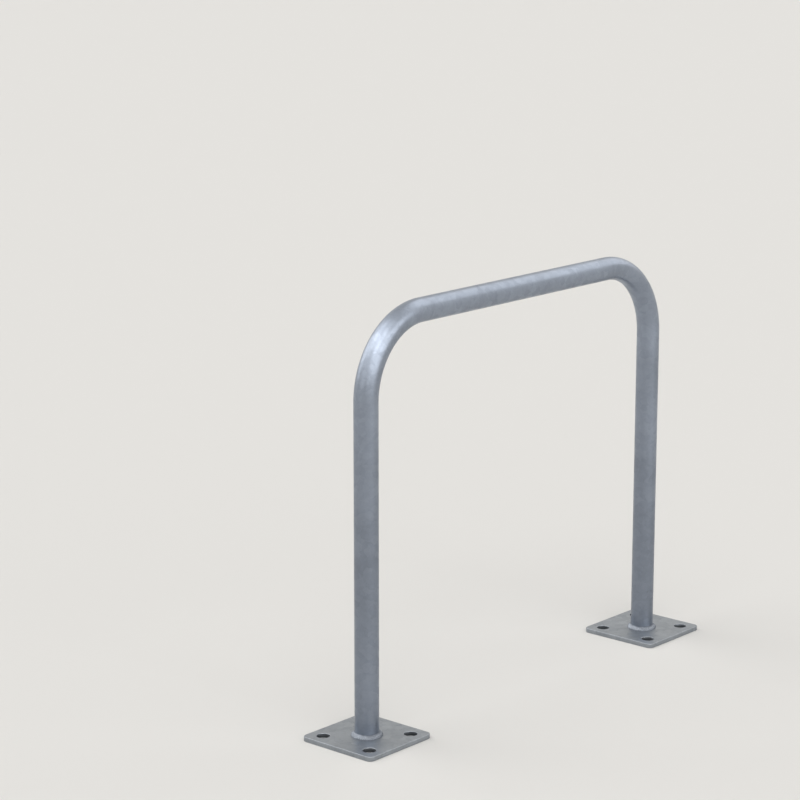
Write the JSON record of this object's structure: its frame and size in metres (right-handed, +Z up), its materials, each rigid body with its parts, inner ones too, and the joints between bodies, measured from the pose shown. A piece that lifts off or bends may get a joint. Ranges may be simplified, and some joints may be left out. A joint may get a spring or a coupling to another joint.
{
  "type": "hoop bike rack",
  "caption": "Galvanised steel tube bent into an upright hoop with rounded corners, welded to square base plates with bolt holes, to lean and lock a bicycle on.",
  "frame": {"origin": "on the ground, midway between the two posts, in the hoop's plane", "axes": "+X along the hoop from the left post to the right post, +Y square to the hoop, +Z up"},
  "size_m": [0.9, 0.15, 0.708],
  "materials": {
    "galvanised_tube": "hot-dip galvanised, satin",
    "galvanised_plate": "hot-dip galvanised, satin",
    "galvanised_weld": "hot-dip galvanised, satin, rippled"
  },
  "bodies": {
    "root": {"hoop_tube": "galvanised_tube", "base_plate_left": "galvanised_plate", "base_plate_right": "galvanised_plate", "weld_bead_left": "galvanised_weld", "weld_bead_right": "galvanised_weld"}
  },
  "joints": []
}
